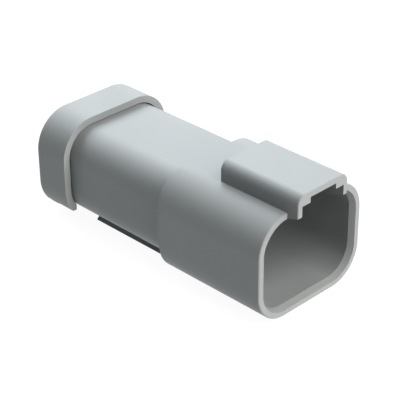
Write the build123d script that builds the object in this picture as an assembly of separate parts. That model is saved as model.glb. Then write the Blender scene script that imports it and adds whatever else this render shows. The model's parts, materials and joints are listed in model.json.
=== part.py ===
from build123d import *
import math
import os

os.makedirs("parts", exist_ok=True)

# Sealed four-way pin receptacle with a built-in resistor, in millimetres.
# +X points out of the mating mouth, +Z up. The origin is under the middle of the
# whole connector, on the surface that it lies on.

# Shroud: the rounded socket round the pins
shroud_width = 20.36
shroud_height = 16.1
shroud_corner = 5.25
shroud_length = 19.2
rim_wall = 0.88
lead_in_depth = 0.95
lead_in_inset = 0.34
shoulder_wall = 2.5
shoulder_bevel = 0.12
rim_bevel = 0.12

# Body: the narrower barrel behind the shroud
shoulder_step_y = 1.22
shoulder_step_z = 1.18
shoulder_step_corner = 0.85
body_exposed = 19.95
seal_wall = 1.0
pocket_wall = 1.35

# Latch hood on top of the shroud
hood_width = 9.82
hood_rise = 3.01
hood_length = 12.1
hood_overhang = 1.85
hood_round = 1.4
hood_side_wall = 0.8
hood_roof = 0.82
hood_back_wall = 1.0
hood_step_width = 1.58
hood_step_drop = 0.85
catch_setback = 4.2
catch_length = 1.6
catch_land = 0.5
catch_drop = 1.3
catch_front = 0.25

# Dovetail clip rails under the body
rail_width = 11.9
rail_flare = 43.0
rail_foot = 2.7
rail_setback = 1.75
clip_ramp_width = 4.0
clip_ramp_length = 2.4
clip_ramp_height = 0.55
clip_ramp_setback = 7.0

# Seal retainer: the cap over the rear end
retainer_wall = 1.6
retainer_skirt = 4.45
retainer_thickness = 1.08
retainer_gap = 0.2
retainer_bevel = 0.12
retainer_leg_short = 0.87
retainer_leg_inset = 0.66
snap_setback = 2.2
snap_width = 0.8
snap_height = 0.3
snap_span = 4.0
snap_clearance = 0.1

# Contacts, at the corners of a rectangle
pitch_y = 6.0
pitch_z = 6.0
pin_diameter = 1.575
pin_setback = 12.7
pin_exposed = 6.9
pin_nose_length = 0.7
pin_nose_tip = 0.7
shank_diameter = 1.9
collar_diameter = 3.3
collar_length = 1.5
barrel_diameter = 2.6
barrel_overhang = 1.6
barrel_bore = 1.9
barrel_bore_depth = 4.6
contact_clearance = 0.1

# Cavity block that holds the contacts
front_wall = 1.2
chamber_length = 4.4
chamber_wall = 2.2
finger_length = 4.6
finger_width = 2.2
finger_slit = 0.4
hook_length = 1.2
hook_height = 0.35
hook_width = 1.5
blade_slot_height = 1.0
blade_slot_width = 9.8

# Wedge lock: the plate and tongues pushed in from the mouth
wedge_plate = 1.4
wedge_clearance = 0.15
wedge_seat_gap = 0.05
tongue_clearance = 0.1
tongue_split = 3.0
tongue_end_gap = 0.4
wedge_hole_clearance = 0.18
pull_slot_width = 3.6
pull_slot_height = 1.2

# Wire seal and the plugs that close its holes
seal_length = 5.6
seal_clearance = 0.05
seal_rib_height = 0.35
seal_rib_count = 2
seal_rib_share = 0.45
plug_diameter = 2.5
plug_head_diameter = 3.6
plug_head_clearance = 0.2
plug_head_recess = 0.15
plug_tip_length = 0.4
plug_dimple = 1.4
plug_dimple_depth = 0.5

# Resistor bridging the two upper contacts
resistor_diameter = 1.8
resistor_length = 3.0
resistor_bevel = 0.35
resistor_clearance = 0.15
lead_diameter = 0.5
lead_slot_clearance = 0.05

# Heights and half sizes
axis_height = shroud_height / 2
shroud_half_y = shroud_width / 2
shroud_half_z = shroud_height / 2
body_half_y = shroud_half_y - shoulder_step_y
body_half_z = shroud_half_z - shoulder_step_z
body_corner = shroud_corner - shoulder_step_corner
mouth_inset = rim_wall + lead_in_inset

# Stations along X, from the rear face of the retainer to the front of the hood
overall_length = retainer_wall + retainer_skirt + body_exposed + shroud_length + hood_overhang
x_rear = -overall_length / 2
x_seal_rear = x_rear + retainer_wall
x_skirt_front = x_seal_rear + retainer_skirt
x_shoulder = x_skirt_front + body_exposed
x_rim = x_shoulder + shroud_length
x_hood_front = x_rim + hood_overhang
x_hood_rear = x_rim - hood_length
x_ledge = x_shoulder + shoulder_wall
x_pin_tip = x_rim - pin_setback
x_wedge_front = x_pin_tip - pin_exposed
x_block_front = x_wedge_front - wedge_plate - wedge_seat_gap
x_collar_front = x_block_front - front_wall
x_collar_rear = x_collar_front - collar_length
x_hook_face = x_collar_rear - contact_clearance
x_finger_root = x_hook_face - finger_length
x_seal_front = x_seal_rear + seal_length
x_block_rear = x_seal_front + chamber_length
x_barrel_rear = x_block_rear - barrel_overhang
x_resistor = x_block_rear - resistor_clearance - resistor_diameter / 2
x_rail_rear = x_skirt_front + rail_setback
x_snap = x_seal_rear + snap_setback

contact_places = [
    (-pitch_y / 2, pitch_z / 2),
    (pitch_y / 2, pitch_z / 2),
    (-pitch_y / 2, -pitch_z / 2),
    (pitch_y / 2, -pitch_z / 2),
]


def section_plane(x, y=0.0, z=0.0):
    # A plane across the connector; y and z are measured from its long axis
    return Plane(origin=(x, y, axis_height + z), x_dir=(0, 1, 0), z_dir=(1, 0, 0))


def rounded_bar(x_from, x_to, half_y, half_z, corner):
    outline = RectangleRounded(2 * half_y, 2 * half_z, corner)
    return extrude(section_plane(x_from) * outline, amount=x_to - x_from)


def block(x_from, x_to, y_from, y_to, z_from, z_to):
    # A box whose z limits are measured from the long axis
    size = (x_to - x_from, y_to - y_from, z_to - z_from)
    middle = ((x_from + x_to) / 2, (y_from + y_to) / 2, axis_height + (z_from + z_to) / 2)
    return Pos(*middle) * Box(*size)


def rod(x_from, x_to, y, z, diameter):
    return extrude(section_plane(x_from, y, z) * Circle(diameter / 2), amount=x_to - x_from)


def side_profile(points, y_from, y_to):
    # A closed outline of (x, z from the long axis) points, extruded across from y_from to y_to
    plane = Plane(origin=(0, y_to, axis_height), x_dir=(1, 0, 0), z_dir=(0, -1, 0))
    face = make_face(Polyline([(x, z) for x, z in points], close=True))
    return extrude(plane * face, amount=y_to - y_from)


def turned(profile, y, z):
    # A closed outline of (x, radius) points, turned about the line through y and z
    face = make_face(Polyline(profile, close=True))
    solid = revolve(Plane.XY * face, axis=Axis.X)
    return Pos(0, y, axis_height + z) * solid


def mouth_cavity():
    # Straight socket, with a lead-in that widens to the rim and on past the hood's front,
    # so that the same slope trims the hood's side walls
    straight = rounded_bar(
        x_ledge, x_rim - lead_in_depth,
        shroud_half_y - mouth_inset, shroud_half_z - mouth_inset, shroud_corner - mouth_inset,
    )
    slope = lead_in_inset / lead_in_depth
    front_inset = rim_wall - slope * hood_overhang
    sections = []
    for x, inset in ((x_rim - lead_in_depth, mouth_inset), (x_hood_front, front_inset)):
        outline = RectangleRounded(
            shroud_width - 2 * inset, shroud_height - 2 * inset, shroud_corner - inset,
        )
        sections.append(section_plane(x) * outline)
    return straight + loft(Sketch() + sections)


def outer_shell():
    shroud = rounded_bar(x_shoulder, x_rim, shroud_half_y, shroud_half_z, shroud_corner)
    shroud = chamfer(shroud.faces().sort_by(Axis.X)[0].edges(), shoulder_bevel)
    shroud = chamfer(shroud.faces().sort_by(Axis.X)[-1].edges(), rim_bevel)
    body = rounded_bar(x_seal_rear, x_ledge, body_half_y, body_half_z, body_corner)
    return shroud + body


def hood_block():
    # Solid hood from inside the shroud's roof up, with its long upper edges rounded
    hood = block(
        x_hood_rear, x_hood_front, -hood_width / 2, hood_width / 2,
        shroud_half_z - mouth_inset - rim_wall, shroud_half_z + hood_rise,
    )
    long_edges = hood.edges().filter_by(Axis.X).group_by(Axis.Z)[-1]
    hood = fillet(long_edges, hood_round)
    return chamfer(hood.faces().sort_by(Axis.X)[-1].edges(), rim_bevel)


def hood_channel():
    # Stepped passage for the mating latch: wide below, narrow under the roof
    x_back = x_hood_rear + hood_back_wall
    x_open = x_hood_front + hood_overhang
    ceiling = shroud_half_z + hood_rise - hood_roof
    wide_half = hood_width / 2 - hood_side_wall
    narrow_half = wide_half - hood_step_width
    floor = shroud_half_z - mouth_inset - rim_wall
    wide = block(x_back, x_open, -wide_half, wide_half, floor, ceiling - hood_step_drop)
    narrow = block(x_back, x_open, -narrow_half, narrow_half, floor, ceiling)
    return wide + narrow


def latch_catch():
    # Ramped bar under the roof that the mating latch snaps behind
    ceiling = shroud_half_z + hood_rise - hood_roof
    embed = hood_roof / 2
    x_face = x_rim - catch_setback
    x_front = x_face + catch_length
    half = hood_width / 2 - hood_side_wall / 2
    points = [
        (x_face, ceiling + embed),
        (x_face, ceiling - catch_drop),
        (x_face + catch_land, ceiling - catch_drop),
        (x_front, ceiling - catch_front),
        (x_front, ceiling + embed),
    ]
    return side_profile(points, -half, half)


def clip_rails():
    # Two rails with one dovetail flank each; a mounting clip slides on from the rear
    drop = shroud_half_z - body_half_z
    embed = seal_wall / 2
    slope = math.tan(math.radians(rail_flare))
    length = x_shoulder + shoulder_bevel - x_rail_rear
    rails = Part()
    for side in (-1, 1):
        outer = rail_width / 2
        points = [
            (side * outer, -shroud_half_z),
            (side * (outer - (drop + embed) * slope), -body_half_z + embed),
            (side * (outer - rail_foot), -body_half_z + embed),
            (side * (outer - rail_foot), -shroud_half_z),
        ]
        face = make_face(Polyline(points, close=True))
        rails += extrude(section_plane(x_rail_rear) * face, amount=length)
    return rails


def clip_ramp():
    # Small ramp between the rails that holds the clip from sliding back
    x_face = x_shoulder - clip_ramp_setback
    points = [
        (x_face, -body_half_z + seal_wall / 2),
        (x_face - clip_ramp_length, -body_half_z + seal_wall / 2),
        (x_face - clip_ramp_length, -body_half_z),
        (x_face, -body_half_z - clip_ramp_height),
    ]
    return side_profile(points, -clip_ramp_width / 2, clip_ramp_width / 2)


def snap_grooves():
    # One shallow groove in each side of the body, for the retainer's ribs
    half_x = snap_width / 2 + snap_clearance
    half_z = snap_span / 2 + snap_clearance
    depth = snap_height + snap_clearance
    grooves = Part()
    for side in (-1, 1):
        inner = side * (body_half_y - depth)
        outer = side * (body_half_y + depth)
        grooves += block(
            x_snap - half_x, x_snap + half_x, min(inner, outer), max(inner, outer), -half_z, half_z,
        )
    return grooves


def rear_pocket():
    # Seal pocket, then a smaller chamber whose step stops the seal
    pocket = rounded_bar(
        x_seal_rear, x_seal_front,
        body_half_y - seal_wall, body_half_z - seal_wall, body_corner - seal_wall,
    )
    chamber = rounded_bar(
        x_seal_front, x_block_rear,
        body_half_y - chamber_wall, body_half_z - chamber_wall, body_corner - chamber_wall,
    )
    return pocket + chamber


def wedge_pocket():
    return rounded_bar(
        x_block_front, x_ledge,
        body_half_y - pocket_wall, body_half_z - pocket_wall, body_corner - pocket_wall,
    )


def contact_cavity(y, z):
    # Bore for the collar and barrel, and a close hole for the shank in the front wall
    bore = rod(x_block_rear, x_collar_front, y, z, collar_diameter + 2 * contact_clearance)
    shank_hole = rod(x_collar_front, x_block_front, y, z, shank_diameter + 2 * contact_clearance)
    return bore + shank_hole


def blade_slot():
    # Slot between the two rows of locking fingers, open to the wedge pocket
    half = blade_slot_height / 2
    return block(x_finger_root, x_block_front, -blade_slot_width / 2, blade_slot_width / 2, -half, half)


def finger_cuts(y, z):
    # Two slits beside a finger and the window in front of its tip, from slot to bore
    side = math.copysign(1, z)
    slot_side = side * blade_slot_height / 2
    bore_side = side * (abs(z) - collar_diameter / 4)
    low = min(slot_side, bore_side)
    high = max(slot_side, bore_side)
    half = finger_width / 2
    left = block(x_finger_root, x_collar_front, y - half - finger_slit, y - half, low, high)
    right = block(x_finger_root, x_collar_front, y + half, y + half + finger_slit, low, high)
    window = block(x_hook_face, x_collar_front, y - half, y + half, low, high)
    return left + right + window


def finger_hook(y, z):
    # Ramped hook on the finger's tip, which stands behind the contact's collar
    side = math.copysign(1, z)
    bore_wall = abs(z) - collar_diameter / 2 - contact_clearance
    root = side * (blade_slot_height / 2 + bore_wall) / 2
    crest = side * (bore_wall + hook_height)
    points = [
        (x_hook_face, root),
        (x_hook_face, crest),
        (x_hook_face - hook_length / 3, crest),
        (x_hook_face - hook_length, side * bore_wall),
        (x_hook_face - hook_length, root),
    ]
    return side_profile(points, y - hook_width / 2, y + hook_width / 2)


def housing():
    # One moulding: shroud, hood, body, rails and the block with its fingers
    shell = outer_shell() + hood_block() + clip_rails() + clip_ramp()
    shell -= mouth_cavity()
    shell -= hood_channel()
    shell += latch_catch()
    shell -= wedge_pocket()
    shell -= rear_pocket()
    shell -= snap_grooves()
    for y, z in contact_places:
        shell -= contact_cavity(y, z)
    shell -= blade_slot()
    for y, z in contact_places:
        shell -= finger_cuts(y, z)
        shell += finger_hook(y, z)
    return shell


def seal_retainer():
    # Cap with a wall across the rear and a skirt that is open underneath
    grow = retainer_gap + retainer_thickness
    cap = rounded_bar(x_rear, x_skirt_front, body_half_y + grow, body_half_z + grow, body_corner + grow)
    cap = chamfer(cap.faces().sort_by(Axis.X)[0].edges(), retainer_bevel)
    cap -= rounded_bar(
        x_seal_rear, x_skirt_front,
        body_half_y + retainer_gap, body_half_z + retainer_gap, body_corner + retainer_gap,
    )
    below = -body_half_z - 2 * grow
    leg_end = body_half_z - retainer_leg_short
    leg_inner = body_half_y - retainer_leg_inset
    cap -= block(x_seal_rear, x_skirt_front, -leg_inner, leg_inner, below, -leg_end / 2)
    cap -= block(x_seal_rear, x_skirt_front, -shroud_width, shroud_width, below, -leg_end)
    for side in (-1, 1):
        near = side * leg_inner
        far = side * shroud_width
        cap -= block(x_rear, x_seal_rear, min(near, far), max(near, far), below, -leg_end)
    cap -= block(x_rear, x_seal_rear, -shroud_width, shroud_width, below, -body_half_z)
    for side in (-1, 1):
        inner = side * (body_half_y - snap_height)
        outer = side * (body_half_y + retainer_gap + retainer_thickness / 2)
        cap += block(
            x_snap - snap_width / 2, x_snap + snap_width / 2,
            min(inner, outer), max(inner, outer), -snap_span / 2, snap_span / 2,
        )
    for y, z in contact_places:
        cap -= rod(x_rear, x_seal_rear, y, z, plug_head_diameter + 2 * plug_head_clearance)
    return cap


def wire_seal():
    # Moulded rubber grommet with ribs round its edge, its four holes stretched round the plugs
    pocket_y = body_half_y - seal_wall - seal_clearance
    pocket_z = body_half_z - seal_wall - seal_clearance
    corner = body_corner - seal_wall - seal_clearance
    seal = rounded_bar(
        x_seal_rear, x_seal_front,
        pocket_y - seal_rib_height, pocket_z - seal_rib_height, corner - seal_rib_height,
    )
    step = seal_length / seal_rib_count
    for index in range(seal_rib_count):
        middle = x_seal_rear + (index + 0.5) * step
        half = step * seal_rib_share / 2
        rib = rounded_bar(middle - half, middle + half, pocket_y, pocket_z, corner)
        seal += rib
    for y, z in contact_places:
        seal -= rod(x_seal_rear, x_seal_front, y, z, plug_diameter + 2 * seal_clearance)
    return seal


def wedge_lock():
    # Plate with four pin holes and a pull slot, and two tongues between the finger rows
    half_y = body_half_y - pocket_wall - wedge_clearance
    half_z = body_half_z - pocket_wall - wedge_clearance
    x_back = x_wedge_front - wedge_plate
    corner = body_corner - pocket_wall - wedge_clearance
    lock = rounded_bar(x_back, x_wedge_front, half_y, half_z, corner)
    half_slot = blade_slot_height / 2 - tongue_clearance
    outer = blade_slot_width / 2 - tongue_clearance
    inner = tongue_split / 2
    x_tongue = x_finger_root + tongue_end_gap
    for side in (-1, 1):
        near = min(side * inner, side * outer)
        far = max(side * inner, side * outer)
        lock += block(x_tongue, x_back, near, far, -half_slot, half_slot)
    for y, z in contact_places:
        lock -= rod(x_back, x_wedge_front, y, z, shank_diameter + 2 * wedge_hole_clearance)
    lock -= block(
        x_back, x_wedge_front,
        -pull_slot_width / 2, pull_slot_width / 2, -pull_slot_height / 2, pull_slot_height / 2,
    )
    return lock


def pin_contact(y, z):
    # Solid turned contact: pin with a tapered nose, thicker shank, collar and open barrel
    pin = pin_diameter / 2
    shank = shank_diameter / 2
    collar = collar_diameter / 2
    barrel = barrel_diameter / 2
    bore = barrel_bore / 2
    x_bore_end = x_barrel_rear + barrel_bore_depth
    outline = [
        (x_bore_end, 0.0),
        (x_bore_end, bore),
        (x_barrel_rear, bore),
        (x_barrel_rear, barrel),
        (x_collar_rear, barrel),
        (x_collar_rear, collar),
        (x_collar_front, collar),
        (x_collar_front, shank),
        (x_wedge_front, shank),
        (x_wedge_front, pin),
        (x_pin_tip - pin_nose_length, pin),
        (x_pin_tip, pin_nose_tip / 2),
        (x_pin_tip, 0.0),
    ]
    return turned(outline, y, z)


def lead_slot(y, z):
    # Slot sawn across a barrel's rear end, in which the resistor's lead lies
    half = lead_diameter / 2 + lead_slot_clearance
    return block(
        x_barrel_rear, x_resistor + half,
        y - barrel_diameter / 2, y + barrel_diameter / 2, z - half, z + half,
    )


def sealing_plug(y, z):
    # Push-in plug: dimpled head in the retainer's hole, plain stem through the seal
    head = plug_head_diameter / 2
    stem = plug_diameter / 2
    x_head = x_rear + plug_head_recess
    x_tip = x_seal_front + plug_tip_length
    outline = [
        (x_head + plug_dimple_depth, 0.0),
        (x_head + plug_dimple_depth, plug_dimple / 2),
        (x_head, plug_dimple / 2),
        (x_head, head),
        (x_seal_rear, head),
        (x_seal_rear, stem),
        (x_tip, stem),
        (x_tip, 0.0),
    ]
    return turned(outline, y, z)


def crosswise_rod(x, y_from, y_to, z, diameter):
    plane = Plane(origin=(x, y_from, axis_height + z), x_dir=(1, 0, 0), z_dir=(0, 1, 0))
    return extrude(plane * Circle(diameter / 2), amount=y_to - y_from)


def resistor_body():
    # Coated cylinder between the two upper barrels, with bevelled ends
    half = resistor_length / 2
    body = crosswise_rod(x_resistor, -half, half, pitch_z / 2, resistor_diameter)
    return chamfer(body.edges().filter_by(GeomType.CIRCLE), resistor_bevel)


def resistor_lead(side):
    # Straight wire from the resistor's end through both walls of a slotted barrel
    near = side * resistor_length / 2
    far = side * (pitch_y / 2 + barrel_diameter / 2 - contact_clearance)
    return crosswise_rod(x_resistor, min(near, far), max(near, far), pitch_z / 2, lead_diameter)


def save(solid, name):
    solid.label = name
    export_step(solid, os.path.join("parts", name + ".step"))


save(housing(), "housing")
save(seal_retainer(), "seal_retainer")
save(wire_seal(), "wire_seal")
save(wedge_lock(), "wedge_lock")
for number, (y, z) in enumerate(contact_places, start=1):
    contact = pin_contact(y, z)
    if z > 0:
        contact -= lead_slot(y, z)
    save(contact, f"pin_contact_{number}")
    save(sealing_plug(y, z), f"sealing_plug_{number}")
save(resistor_body(), "resistor_body")
for number, side in ((1, -1), (2, 1)):
    save(resistor_lead(side), f"resistor_lead_{number}")
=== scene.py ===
import json
import math
import bpy
from mathutils import Matrix, Vector


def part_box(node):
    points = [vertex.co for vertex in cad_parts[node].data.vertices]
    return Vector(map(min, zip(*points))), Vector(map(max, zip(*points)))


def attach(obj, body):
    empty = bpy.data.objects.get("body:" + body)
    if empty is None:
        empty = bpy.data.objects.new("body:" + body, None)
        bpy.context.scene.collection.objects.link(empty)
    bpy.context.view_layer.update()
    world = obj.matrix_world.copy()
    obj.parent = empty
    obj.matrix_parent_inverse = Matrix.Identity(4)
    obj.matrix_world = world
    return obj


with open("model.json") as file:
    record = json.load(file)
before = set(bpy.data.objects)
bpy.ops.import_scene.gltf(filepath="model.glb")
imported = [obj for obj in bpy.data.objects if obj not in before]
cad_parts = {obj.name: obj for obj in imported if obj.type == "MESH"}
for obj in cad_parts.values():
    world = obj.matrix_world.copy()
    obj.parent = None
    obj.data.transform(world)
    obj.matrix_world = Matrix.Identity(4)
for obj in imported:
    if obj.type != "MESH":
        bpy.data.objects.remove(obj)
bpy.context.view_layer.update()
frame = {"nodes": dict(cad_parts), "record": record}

mm = 0.001                            # a name that ends in Mm is in millimetres, Blender is in metres
noiseLow, noiseHigh = 0.3, 0.7        # nearly all of a noise texture's values lie between these
waveRepeat = math.pi / 10             # a wave texture repeats after this many of its own units
print("connector loaded:", len(frame["nodes"]), "nodes")


def srgb(code):
    # a hex colour as the eye names it, turned to Blender's linear values, opaque
    parts = [int(code[i:i + 2], 16) / 255 for i in (1, 3, 5)]
    linear = [c / 12.92 if c <= 0.04045 else ((c + 0.055) / 1.055) ** 2.4 for c in parts]
    return (*linear, 1)


def addNode(tree, kind, inputs=None, **settings):
    # one node with its settings; an input, by name or number, is a value or another node's output
    node = tree.nodes.new(kind)
    for name, value in settings.items():
        setattr(node, name, value)
    for socket, value in (inputs or {}).items():
        if isinstance(value, bpy.types.NodeSocket):
            tree.links.new(value, node.inputs[socket])
        else:
            node.inputs[socket].default_value = value
    return node


def newMaterial(name):
    material = bpy.data.materials.new(name)
    material.use_nodes = True
    material.node_tree.nodes.clear()
    return material, material.node_tree


def intoScene(name, data):
    item = bpy.data.objects.new(name, data)
    bpy.context.scene.collection.objects.link(item)
    return item


def perMetre(sizeMm):
    # a noise or wave scale for features of this real size, on coordinates in metres
    return 1 / (sizeMm * mm)


def mouldedPlastic(name, look):
    # an even colour, a satin skin with the grain that spark erosion leaves in the mould, and a
    # faint cloudiness where the melt cooled
    material, tree = newMaterial(name)
    place = addNode(tree, "ShaderNodeTexCoord").outputs["Object"]
    cloud = addNode(tree, "ShaderNodeTexNoise", {
        "Vector": place, "Scale": perMetre(look["cloudMm"]), "Detail": 3.0, "Roughness": 0.55})
    tint = addNode(tree, "ShaderNodeMix", {
        "Factor": cloud.outputs["Fac"],
        "A": srgb(look["colour"]), "B": srgb(look["paler"])}, data_type="RGBA")
    grain = addNode(tree, "ShaderNodeTexNoise", {
        "Vector": place, "Scale": perMetre(look["grainMm"]), "Detail": 2.0, "Roughness": 0.6})
    smoothest, dullest = look["roughness"]
    rough = addNode(tree, "ShaderNodeMapRange", {
        "Value": cloud.outputs["Fac"], "From Min": noiseLow, "From Max": noiseHigh,
        "To Min": smoothest, "To Max": dullest})
    skin = addNode(tree, "ShaderNodeBump", {
        "Height": grain.outputs["Fac"], "Strength": look["grainStrength"],
        "Distance": look["grainDepthMm"] * mm})
    shader = addNode(tree, "ShaderNodeBsdfPrincipled", {
        "Base Color": tint.outputs["Result"], "Roughness": rough.outputs["Result"],
        "Normal": skin.outputs["Normal"], "IOR": look["ior"],
        "Specular IOR Level": look["specular"]})
    addNode(tree, "ShaderNodeOutputMaterial", {"Surface": shader.outputs["BSDF"]})
    return material


def workedMetal(name, look):
    # bright, with the fine lines that a tool or a die leaves, and a patchy gloss from handling
    material, tree = newMaterial(name)
    place = addNode(tree, "ShaderNodeTexCoord").outputs["Object"]
    lines = addNode(tree, "ShaderNodeTexWave", {
        "Vector": place, "Scale": perMetre(look["lineMm"]) * waveRepeat,
        "Distortion": 1.5, "Detail": 2.0}, wave_type="BANDS", bands_direction="X")
    smear = addNode(tree, "ShaderNodeTexNoise", {
        "Vector": place, "Scale": perMetre(look["smearMm"]), "Detail": 3.0})
    smoothest, dullest = look["roughness"]
    rough = addNode(tree, "ShaderNodeMapRange", {
        "Value": smear.outputs["Fac"], "From Min": noiseLow, "From Max": noiseHigh,
        "To Min": smoothest, "To Max": dullest})
    skin = addNode(tree, "ShaderNodeBump", {
        "Height": lines.outputs["Fac"], "Strength": look["lineStrength"],
        "Distance": look["lineDepthMm"] * mm})
    shader = addNode(tree, "ShaderNodeBsdfPrincipled", {
        "Base Color": srgb(look["colour"]), "Metallic": 1.0,
        "Roughness": rough.outputs["Result"], "Normal": skin.outputs["Normal"]})
    addNode(tree, "ShaderNodeOutputMaterial", {"Surface": shader.outputs["BSDF"]})
    return material


def ringedLacquer(name, look, low, high):
    # painted rings across the resistor, under the smooth lacquer that it was dipped in
    material, tree = newMaterial(name)
    place = addNode(tree, "ShaderNodeTexCoord").outputs["Object"]
    along = addNode(tree, "ShaderNodeSeparateXYZ", {"Vector": place})
    share = addNode(tree, "ShaderNodeMapRange", {
        "Value": along.outputs["Y"], "From Min": low, "From Max": high})
    paint = addNode(tree, "ShaderNodeValToRGB", {"Fac": share.outputs["Result"]})
    ramp = paint.color_ramp
    ramp.interpolation = "CONSTANT"
    ramp.elements.remove(ramp.elements[1])
    ramp.elements[0].color = srgb(look["colour"])
    width = look["ringMm"] * mm / (high - low)
    for middle, colour in look["rings"]:
        ramp.elements.new(middle - width / 2).color = srgb(colour)
        ramp.elements.new(middle + width / 2).color = srgb(look["colour"])
    flow = addNode(tree, "ShaderNodeTexNoise", {
        "Vector": place, "Scale": perMetre(look["flowMm"]), "Detail": 1.0})
    skin = addNode(tree, "ShaderNodeBump", {
        "Height": flow.outputs["Fac"], "Strength": look["flowStrength"],
        "Distance": look["flowDepthMm"] * mm})
    shader = addNode(tree, "ShaderNodeBsdfPrincipled", {
        "Base Color": paint.outputs["Color"], "Roughness": look["roughness"],
        "Normal": skin.outputs["Normal"], "IOR": look["ior"]})
    addNode(tree, "ShaderNodeOutputMaterial", {"Surface": shader.outputs["BSDF"]})
    return material


# a roughness with two values runs from the smoothest patches to the dullest, and a ring is given by
# its share of the resistor's length and its colour
resistorLow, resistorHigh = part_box("resistor_body")
finishes = {
    # glass-filled polyester straight from the mould: light cool grey, dull satin, no polish
    "housing_plastic": mouldedPlastic("Injection-moulded polyester", {
        "colour": "#93999B", "paler": "#989D9F", "cloudMm": 6.0,
        "grainMm": 0.14, "grainStrength": 0.25, "grainDepthMm": 0.012,
        "roughness": (0.52, 0.58), "ior": 1.5, "specular": 0.3}),
    # the same polyester from another mould and batch, a shade apart
    "retainer_plastic": mouldedPlastic("Injection-moulded polyester, rear cap", {
        "colour": "#92989A", "paler": "#979C9E", "cloudMm": 5.0,
        "grainMm": 0.14, "grainStrength": 0.25, "grainDepthMm": 0.012,
        "roughness": (0.52, 0.58), "ior": 1.5, "specular": 0.3}),
    # soft brick-coloured rubber with a slightly oily, blurred sheen
    "seal_silicone": mouldedPlastic("Moulded silicone rubber", {
        "colour": "#B4472A", "paler": "#BE5233", "cloudMm": 3.0,
        "grainMm": 0.2, "grainStrength": 0.3, "grainDepthMm": 0.01,
        "roughness": (0.62, 0.68), "ior": 1.41, "specular": 0.4}),
    # unfilled nylon, darker than the housing and a little smoother
    "lock_plastic": mouldedPlastic("Injection-moulded dark nylon", {
        "colour": "#6B6F71", "paler": "#707476", "cloudMm": 4.0,
        "grainMm": 0.12, "grainStrength": 0.2, "grainDepthMm": 0.01,
        "roughness": (0.47, 0.53), "ior": 1.53, "specular": 0.3}),
    # nylon without pigment: creamy white with a soft shine
    "plug_plastic": mouldedPlastic("Injection-moulded natural nylon", {
        "colour": "#C9C7BC", "paler": "#D0CEC4", "cloudMm": 2.0,
        "grainMm": 0.12, "grainStrength": 0.2, "grainDepthMm": 0.008,
        "roughness": (0.42, 0.48), "ior": 1.53, "specular": 0.5}),
    # glossy beige with thin brown, black, red and gold rings
    "resistor_coating": ringedLacquer("Dipped resistor lacquer", {
        "colour": "#C7A878", "ringMm": 0.35,
        "rings": [(0.24, "#5A3320"), (0.38, "#1D1B1A"), (0.52, "#A8271E"), (0.74, "#A98532")],
        "flowMm": 1.5, "flowStrength": 0.3, "flowDepthMm": 0.02,
        "roughness": 0.25, "ior": 1.5}, resistorLow[1], resistorHigh[1]),
    # warm silver, cut on a lathe and plated: thin rings that stretch the highlight, drawn about six
    # times as far apart as the cutter leaves them, so that they show
    "contact_plating": workedMetal("Turned copper alloy, nickel plated", {
        "colour": "#C9C3B6", "lineMm": 0.314, "lineStrength": 0.2, "lineDepthMm": 0.004,
        "smearMm": 1.2, "roughness": (0.23, 0.35)}),
    # dull silver of drawn wire with a tin coat, with faint die lines along it
    "tinned_wire": workedMetal("Drawn copper wire, tinned", {
        "colour": "#C4C5C6", "lineMm": 0.1, "lineStrength": 0.2, "lineDepthMm": 0.002,
        "smearMm": 0.6, "roughness": (0.30, 0.42)}),
}
nodeSlots = {part["node"]: part["material_slot"] for part in frame["record"]["subparts"]}
for nodeName, node in frame["nodes"].items():
    node.data.materials.clear()
    node.data.materials.append(finishes[nodeSlots[nodeName]])
print("finishes given:", len(finishes))


# raised cavity numbers beside the wire holes, on the rear wall of the cap: how tall they are, how far
# they stand out, how deep they are rooted, how far they are from the middle of their hole, and how
# near two points are joined
cavityMark = {
    "heightMm": 2.3, "reliefMm": 0.24, "sunkMm": 0.05, "besideMm": 3.45, "weldMm": 0.001,
}


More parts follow.
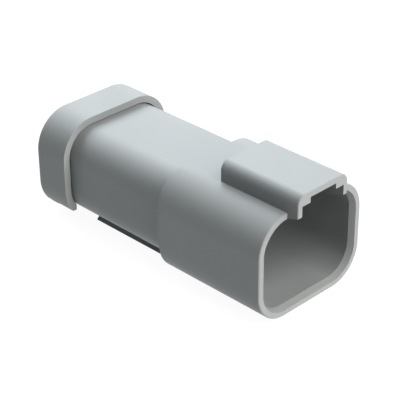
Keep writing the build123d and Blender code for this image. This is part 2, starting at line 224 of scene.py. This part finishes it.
def raisedDigitTree(finish):
    # outline of one digit, filled, closed behind, and stood up from the wall
    tree = bpy.data.node_groups.new("Raised digit", "GeometryNodeTree")
    sockets = tree.interface
    sockets.new_socket("Digit", in_out="INPUT", socket_type="NodeSocketString")
    sockets.new_socket("Height", in_out="INPUT", socket_type="NodeSocketFloat")
    sockets.new_socket("Relief", in_out="INPUT", socket_type="NodeSocketFloat")
    sockets.new_socket("Weld", in_out="INPUT", socket_type="NodeSocketFloat")
    sockets.new_socket("Place", in_out="INPUT", socket_type="NodeSocketVector")
    sockets.new_socket("Turn", in_out="INPUT", socket_type="NodeSocketVector")
    sockets.new_socket("Geometry", in_out="OUTPUT", socket_type="NodeSocketGeometry")
    given = addNode(tree, "NodeGroupInput").outputs
    writing = addNode(tree, "GeometryNodeStringToCurves", {
        "String": given["Digit"], "Size": given["Height"]}, align_x="CENTER", align_y="MIDDLE")
    outline = addNode(tree, "GeometryNodeRealizeInstances", {
        "Geometry": writing.outputs["Curve Instances"]})
    face = addNode(tree, "GeometryNodeFillCurve", {"Curve": outline.outputs["Geometry"]})
    raised = addNode(tree, "GeometryNodeExtrudeMesh", {
        "Mesh": face.outputs["Mesh"], "Offset Scale": given["Relief"], "Individual": False})
    back = addNode(tree, "GeometryNodeFlipFaces", {"Mesh": face.outputs["Mesh"]})
    shell = addNode(tree, "GeometryNodeJoinGeometry")
    tree.links.new(raised.outputs["Mesh"], shell.inputs["Geometry"])
    tree.links.new(back.outputs["Mesh"], shell.inputs["Geometry"])
    closed = addNode(tree, "GeometryNodeMergeByDistance", {
        "Geometry": shell.outputs["Geometry"], "Distance": given["Weld"]})
    placed = addNode(tree, "GeometryNodeTransform", {
        "Geometry": closed.outputs["Geometry"], "Translation": given["Place"], "Rotation": given["Turn"]})
    single = addNode(tree, "GeometryNodeRealizeInstances", {"Geometry": placed.outputs["Geometry"]})
    dressed = addNode(tree, "GeometryNodeSetMaterial", {
        "Geometry": single.outputs["Geometry"], "Material": finish})
    addNode(tree, "NodeGroupOutput", {"Geometry": dressed.outputs["Geometry"]})
    return tree


def plainMesh(name, tree, values):
    # runs the tree once with these values and keeps what it makes as an ordinary mesh
    host = intoScene(name + "_host", bpy.data.meshes.new(name + "_host"))
    modifier = host.modifiers.new("Shape", "NODES")
    modifier.node_group = tree
    for socket in tree.interface.items_tree:
        if socket.in_out == "INPUT":
            modifier[socket.identifier] = values[socket.name]
    made = host.evaluated_get(bpy.context.evaluated_depsgraph_get())
    mesh = bpy.data.meshes.new_from_object(made)
    bpy.data.objects.remove(host)
    mesh.name = name
    return intoScene(name, mesh)


def cavityNumbers(mark):
    tree = raisedDigitTree(finishes["retainer_plastic"])
    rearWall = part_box("seal_retainer")[0][0]
    contacts = sorted(name for name in frame["nodes"] if name.startswith("pin_contact_"))
    for number, contact in enumerate(contacts, 1):
        low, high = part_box(contact)
        y, z = (low[1] + high[1]) / 2, (low[2] + high[2]) / 2
        outward = math.copysign(mark["besideMm"] * mm, y)
        piece = plainMesh(f"cavity_number_{number}", tree, {
            "Digit": str(number), "Height": mark["heightMm"] * mm,
            "Relief": (mark["reliefMm"] + mark["sunkMm"]) * mm, "Weld": mark["weldMm"] * mm,
            "Place": (rearWall + mark["sunkMm"] * mm, y + outward, z),
            "Turn": (math.pi / 2, 0, -math.pi / 2)})        # upright, and read from behind
        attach(piece, "receptacle")


cavityNumbers(cavityMark)
print("cavity numbers raised")


def seenDirectly(tree):
    # one for camera, reflected and refracted rays, else nought
    path = addNode(tree, "ShaderNodeLightPath").outputs
    mirrored = addNode(tree, "ShaderNodeMath", {
        0: path["Is Glossy Ray"], 1: path["Is Transmission Ray"]}, operation="MAXIMUM")
    seen = addNode(tree, "ShaderNodeMath", {
        0: path["Is Camera Ray"], 1: mirrored.outputs["Value"]}, operation="MAXIMUM")
    return seen.outputs["Value"]


def whiteWorld():
    # white wherever the camera, a reflection or a clear part looks; the lamps alone light the rest
    world = bpy.data.worlds.new("Studio")
    bpy.context.scene.world = world
    world.use_nodes = True
    tree = world.node_tree
    tree.nodes.clear()
    glow = addNode(tree, "ShaderNodeBackground", {
        "Color": srgb("#FFFFFF"), "Strength": seenDirectly(tree)})
    addNode(tree, "ShaderNodeOutputWorld", {"Surface": glow.outputs["Background"]})


# a matt table that glows nearly white, a hair below the connector so that no faces coincide
table = {"sizeMm": 3000.0, "dropMm": 0.02, "glow": 0.94, "colour": "#5A5A5A"}


def paleFloor(look):
    half, low = look["sizeMm"] * mm / 2, -look["dropMm"] * mm
    mesh = bpy.data.meshes.new("studio_floor")
    corners = [(-half, -half, low), (half, -half, low), (half, half, low), (-half, half, low)]
    mesh.from_pydata(corners, [], [(0, 1, 2, 3)])
    floor = intoScene("studio_floor", mesh)
    material, tree = newMaterial("Lit studio table")
    level = addNode(tree, "ShaderNodeMath", {0: seenDirectly(tree), 1: look["glow"]}, operation="MULTIPLY")
    glow = addNode(tree, "ShaderNodeEmission", {
        "Color": srgb("#FFFFFF"), "Strength": level.outputs["Value"]})
    matt = addNode(tree, "ShaderNodeBsdfDiffuse", {"Color": srgb(look["colour"])})
    lit = addNode(tree, "ShaderNodeAddShader", {0: glow.outputs["Emission"], 1: matt.outputs["BSDF"]})
    # the table is only there from above, so that the underside can be looked at too
    facing = addNode(tree, "ShaderNodeNewGeometry")
    clear = addNode(tree, "ShaderNodeBsdfTransparent")
    sided = addNode(tree, "ShaderNodeMixShader", {
        0: facing.outputs["Backfacing"], 1: lit.outputs["Shader"], 2: clear.outputs["BSDF"]})
    addNode(tree, "ShaderNodeOutputMaterial", {"Surface": sided.outputs["Shader"]})
    mesh.materials.append(material)
    # the lamps under the table shine through it, and it throws no light on the connector
    floor.visible_shadow = False
    floor.visible_diffuse = False


# broad soft lamps: the strongest two, slightly cool, shine from behind the connector, slightly warm
# ones in front look into the mouth, and two reach the underside; each has the azimuth and elevation
# that it shines from, the light that it gives a white face turned to it, its tint, how many degrees
# wide it looks, and whether it shows in reflections
lamps = {
    "rear": {"aim": (270, 36), "level": 0.72, "tint": "#F6FBFF", "spread": 40, "gloss": True},
    "rearCorner": {"aim": (225, 36), "level": 0.77, "tint": "#F6FBFF", "spread": 40, "gloss": True},
    "frontCorner": {"aim": (135, 36), "level": 0.37, "tint": "#FFFBF5", "spread": 40, "gloss": True},
    "front": {"aim": (90, 50), "level": 0.46, "tint": "#FFFBF5", "spread": 40, "gloss": True},
    "mouthHigh": {"aim": (90, 15), "level": 0.32, "tint": "#FFF8F0", "spread": 15, "gloss": False},
    "mouth": {"aim": (90, 0), "level": 0.58, "tint": "#FFF8F0", "spread": 15, "gloss": False},
    "mouthLow": {"aim": (80, -30), "level": 0.16, "tint": "#FFF8F0", "spread": 15, "gloss": False},
    "underSide": {"aim": (0, -62), "level": 0.20, "tint": "#FCFEFF", "spread": 40, "gloss": True},
    "underRear": {"aim": (315, -36), "level": 0.17, "tint": "#FCFEFF", "spread": 40, "gloss": True},
}


def aimFrom(azimuth, elevation):
    # unit vector from the object towards a viewer or a lamp
    a, e = math.radians(azimuth), math.radians(elevation)
    return Vector((math.sin(a) * math.cos(e), -math.cos(a) * math.cos(e), math.sin(e)))


def softLamp(name, lamp):
    light = bpy.data.lights.new(name, "SUN")
    light.angle = math.radians(lamp["spread"])
    light.energy = math.pi * lamp["level"]        # a sun of strength pi lights a white face to 1
    light.color = srgb(lamp["tint"])[:3]
    holder = intoScene(name, light)
    holder.visible_glossy = lamp["gloss"]
    holder.rotation_euler = aimFrom(*lamp["aim"]).to_track_quat("Z", "Y").to_euler()


# the photograph's viewpoint: angles in degrees, and distances from the middle of the mouth's rim
viewpoint = {
    "azimuth": 45.49, "elevation": 29.994, "roll": -0.575,
    "distanceMm": 191.75, "sidewaysMm": -14.914, "upMm": 6.915,
    "lensMm": 127.97, "sensorMm": 36.0, "nearestMm": 10.0, "farthestMm": 10000.0,
}


def placeCamera(view, target):
    back = aimFrom(view["azimuth"], view["elevation"])
    turn, roll = math.radians(view["azimuth"]), math.radians(view["roll"])
    right = Vector((math.cos(turn), math.sin(turn), 0))
    up = back.cross(right)
    side = right * math.cos(roll) + up * math.sin(roll)
    top = up * math.cos(roll) - right * math.sin(roll)
    data = bpy.data.cameras.new("camera")
    data.sensor_width, data.lens = view["sensorMm"], view["lensMm"]
    data.clip_start, data.clip_end = view["nearestMm"] * mm, view["farthestMm"] * mm
    camera = intoScene("camera", data)
    place = target + mm * (back * view["distanceMm"] + side * view["sidewaysMm"] + top * view["upMm"])
    axes = Matrix((side, top, back)).transposed()
    camera.matrix_world = Matrix.Translation(place) @ axes.to_4x4()
    bpy.context.scene.camera = camera


mountPlaces = {mount["name"]: Vector(mount["pos_m"]) for mount in frame["record"]["mounts"]}
whiteWorld()
paleFloor(table)
for lampName, lamp in lamps.items():
    softLamp(lampName, lamp)
placeCamera(viewpoint, mountPlaces["mating_socket"])
bpy.context.scene.view_settings.view_transform = "Standard"
print("studio and camera placed")
